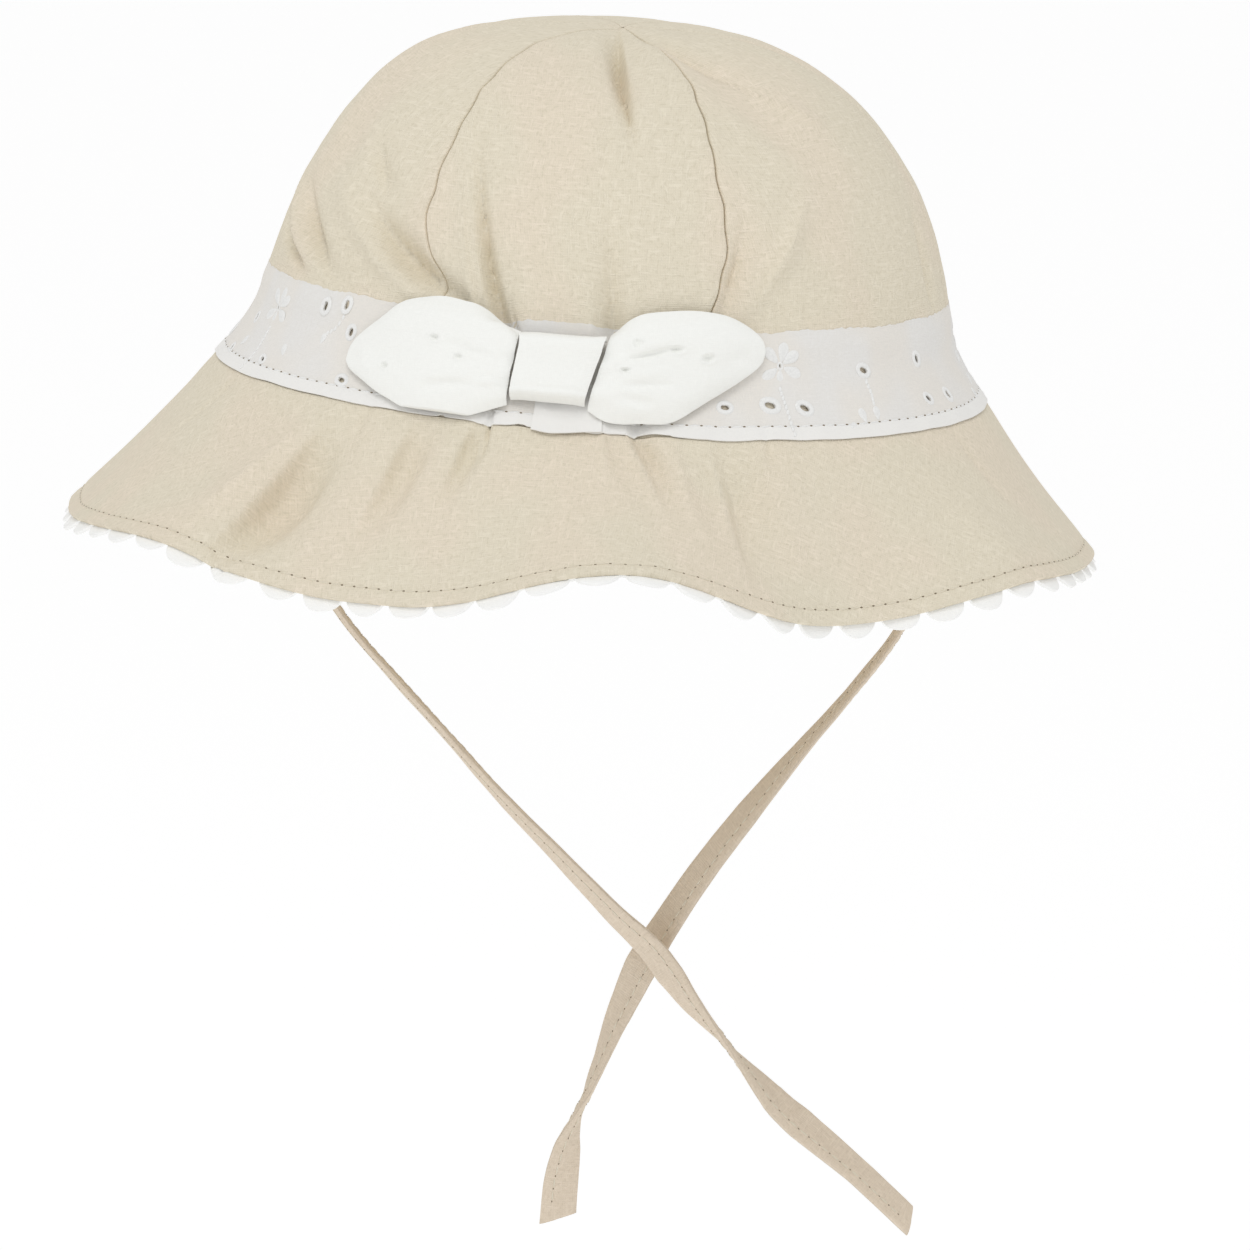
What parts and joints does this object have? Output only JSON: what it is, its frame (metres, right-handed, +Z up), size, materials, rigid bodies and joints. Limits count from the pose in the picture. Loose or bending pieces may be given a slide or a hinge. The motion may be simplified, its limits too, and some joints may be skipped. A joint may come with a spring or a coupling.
{
  "type": "child's sun hat with bow and chin ties",
  "caption": "Child's woven sun hat: six-gore crown, wavy two-ply brim with scalloped edging, sheer eyelet band, flat bow and two hanging chin ties.",
  "frame": {"origin": "middle of the crown's inner face at the top, where the head carries the hat", "axes": "+Z up, -Y towards the front with the bow, +X towards the side on the right of someone who looks at the front"},
  "size_m": [0.2264, 0.2113, 0.266],
  "materials": {
    "linen": "plain-woven linen look, matt, light warm beige with fine slubs",
    "sheer_voile": "sheer white voile with embroidered eyelets, over beige",
    "white_cotton": "white woven cotton, matt"
  },
  "bodies": {
    "root": {"crown_panel_front": "linen", "crown_panel_front_left": "linen", "crown_panel_front_right": "linen", "crown_panel_back_left": "linen", "crown_panel_back_right": "linen", "crown_panel_back": "linen", "brim": "linen", "brim_trim": "white_cotton", "hat_band": "sheer_voile", "bow_wing_left": "white_cotton", "bow_wing_right": "white_cotton", "bow_knot": "white_cotton", "tie_left": "linen", "tie_right": "linen"}
  },
  "joints": []
}
